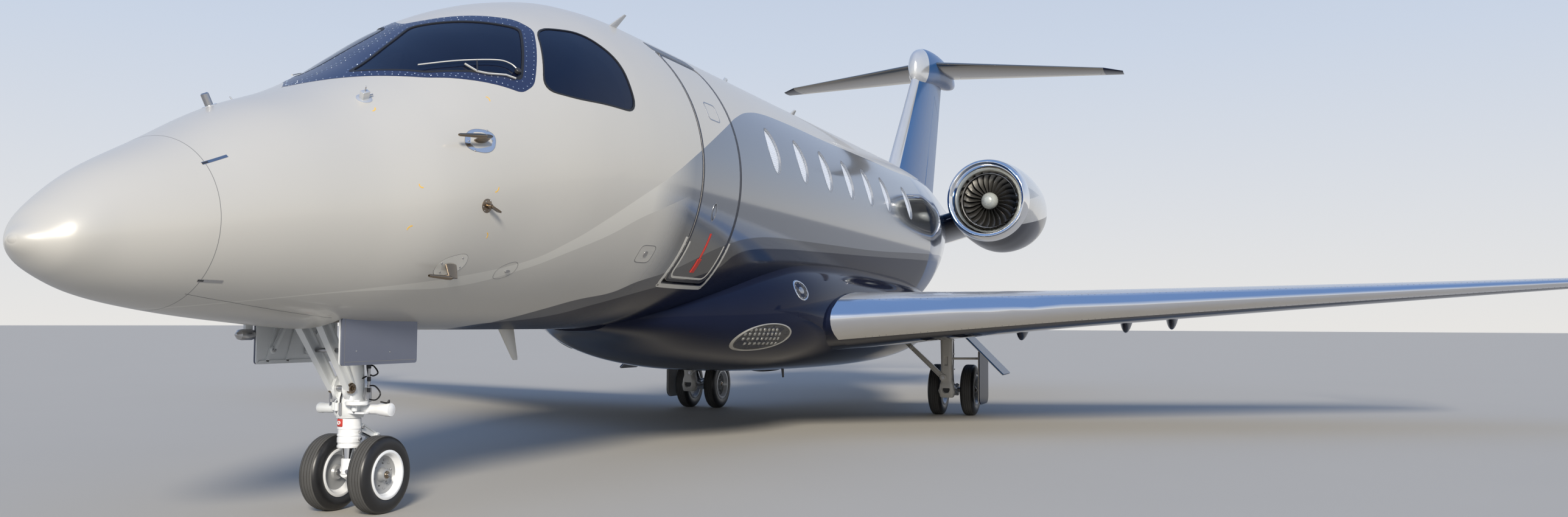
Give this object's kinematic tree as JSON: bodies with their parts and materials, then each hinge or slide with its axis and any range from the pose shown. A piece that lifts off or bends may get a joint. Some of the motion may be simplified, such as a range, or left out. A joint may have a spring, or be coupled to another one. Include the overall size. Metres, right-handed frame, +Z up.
{
  "type": "business jet",
  "caption": "Twin rear-engined business jet with a swept low wing, winglets, T-tail, airstair door, steerable nose gear and twin-wheel main gear, parked on its wheels.",
  "frame": {"origin": "on the ground under the middle of the aircraft's length and on its centre plane", "axes": "+X to the aircraft's left (port), +Y aft, +Z up; the nose points along -Y"},
  "size_m": [20.2512, 20.732, 6.42],
  "materials": {
    "pearl": "glossy pearl grey paint",
    "navy": "glossy dark blue paint",
    "blue": "glossy metallic blue paint",
    "polished": "polished metal",
    "bronze": "glossy warm grey paint",
    "glass": "dark coated glass",
    "window": "clear panes in a plastic trim panel",
    "gear": "light grey gloss paint",
    "rim": "white painted alloy",
    "tyre": "black rubber",
    "door_grey": "blue-grey paint",
    "trim": "light carpet",
    "dark": "dark trim",
    "engine": "bare metal",
    "core": "dark bare metal"
  },
  "bodies": {
    "airframe": {"aft_fuselage": "pearl", "belly_fairing": "navy", "cabin_floor": "trim", "cabin_fuselage": "pearl", "cabin_window_panel_port": "window", "cabin_window_panel_starboard": "window", "engine_core_port": "core", "engine_core_starboard": "core", "fin": "blue", "flight_deck_seats": "dark", "forward_fuselage": "pearl", "inlet_lip_port": "polished", "inlet_lip_starboard": "polished", "instrument_panel": "dark", "main_gear_leg_door_port": "navy", "main_gear_leg_door_starboard": "navy", "main_gear_leg_port": "gear", "main_gear_leg_starboard": "gear", "main_gear_wing_door_port": "blue", "main_gear_wing_door_starboard": "blue", "nacelle_port": "pearl", "nacelle_starboard": "pearl", "nose_gear_door_port": "door_grey", "nose_gear_door_starboard": "door_grey", "nose_gear_leg": "gear", "pylon_port": "navy", "pylon_starboard": "navy", "radome": "pearl", "side_window_port": "glass", "side_window_starboard": "glass", "tail_bullet": "blue", "tailplane": "bronze", "windshield_port": "glass", "windshield_starboard": "glass", "wing_port": "navy", "wing_starboard": "navy"},
    "entry_door": {"entry_door": "pearl"},
    "nose_steering": {"nose_gear_fork": "gear"},
    "nose_wheels": {"nose_wheel": "rim", "nose_tyre_port": "tyre", "nose_tyre_starboard": "tyre"},
    "main_wheels_port": {"main_wheel_port": "rim", "main_tyre_outer_port": "tyre", "main_tyre_inner_port": "tyre"},
    "main_wheels_starboard": {"main_wheel_starboard": "rim", "main_tyre_outer_starboard": "tyre", "main_tyre_inner_starboard": "tyre"},
    "rudder": {"rudder": "blue"},
    "fan_port": {"fan_port": "engine"},
    "fan_starboard": {"fan_starboard": "engine"},
    "aileron_port": {"aileron_port": "navy"},
    "aileron_starboard": {"aileron_starboard": "navy"},
    "flap_port": {"flap_port": "navy"},
    "flap_starboard": {"flap_starboard": "navy"},
    "elevator_port": {"elevator_port": "bronze"},
    "elevator_starboard": {"elevator_starboard": "bronze"}
  },
  "joints": [
    {"name": "entry_door_hinge", "type": "hinge", "parent": "airframe", "child": "entry_door", "pos_m": [0.92086, -5.032, 1.56981], "axis": [0, 1, 0], "range_deg": [0, 125]},
    {"name": "nose_gear_steering", "type": "hinge", "parent": "airframe", "child": "nose_steering", "pos_m": [0, -8.05, 0.5], "axis": [0, 0, 1], "range_deg": [-60, 60]},
    {"name": "nose_wheel_spin", "type": "hinge", "parent": "nose_steering", "child": "nose_wheels", "pos_m": [0, -7.983, 0.244], "axis": [1, 0, 0], "continuous": true},
    {"name": "main_wheel_spin_port", "type": "hinge", "parent": "airframe", "child": "main_wheels_port", "pos_m": [1.829, 1.7, 0.336], "axis": [1, 0, 0], "continuous": true},
    {"name": "main_wheel_spin_starboard", "type": "hinge", "parent": "airframe", "child": "main_wheels_starboard", "pos_m": [-1.829, 1.7, 0.336], "axis": [1, 0, 0], "continuous": true},
    {"name": "fan_spin_port", "type": "hinge", "parent": "airframe", "child": "fan_port", "pos_m": [1.696, 5.117, 3.208], "axis": [0, 1, 0], "continuous": true},
    {"name": "fan_spin_starboard", "type": "hinge", "parent": "airframe", "child": "fan_starboard", "pos_m": [-1.696, 5.117, 3.208], "axis": [0, 1, 0], "continuous": true},
    {"name": "aileron_hinge_port", "type": "hinge", "parent": "airframe", "child": "aileron_port", "pos_m": [8.27, 2.635, 1.67457], "axis": [0.9573, 0.2831, 0.0592], "range_deg": [-20, 20]},
    {"name": "aileron_hinge_starboard", "type": "hinge", "parent": "airframe", "child": "aileron_starboard", "pos_m": [-8.27, 2.635, 1.67457], "axis": [0.9573, -0.2831, -0.0592], "range_deg": [-20, 20]},
    {"name": "flap_hinge_port", "type": "hinge", "parent": "airframe", "child": "flap_port", "pos_m": [4.91, 1.78, 1.30442], "axis": [-0.9711, -0.2248, -0.0802], "range_deg": [0, 35]},
    {"name": "flap_hinge_starboard", "type": "hinge", "parent": "airframe", "child": "flap_starboard", "pos_m": [-4.91, 1.78, 1.30442], "axis": [-0.9711, 0.2248, 0.0802], "range_deg": [0, 35]},
    {"name": "elevator_hinge_port", "type": "hinge", "parent": "airframe", "child": "elevator_port", "pos_m": [1.75, 9.385, 6.12], "axis": [0.967, 0.2547, 0], "range_deg": [-15, 25]},
    {"name": "elevator_hinge_starboard", "type": "hinge", "parent": "airframe", "child": "elevator_starboard", "pos_m": [-1.75, 9.385, 6.12], "axis": [0.967, -0.2547, 0], "range_deg": [-15, 25]},
    {"name": "rudder_hinge", "type": "hinge", "parent": "airframe", "child": "rudder", "pos_m": [0, 7.85, 4.59], "axis": [0, 0.4735, 0.8808], "range_deg": [-25, 25]}
  ],
  "couplings": [
    {"joint": "aileron_hinge_starboard", "follows": "aileron_hinge_port", "ratio": -1},
    {"joint": "flap_hinge_starboard", "follows": "flap_hinge_port", "ratio": 1},
    {"joint": "elevator_hinge_starboard", "follows": "elevator_hinge_port", "ratio": 1}
  ]
}
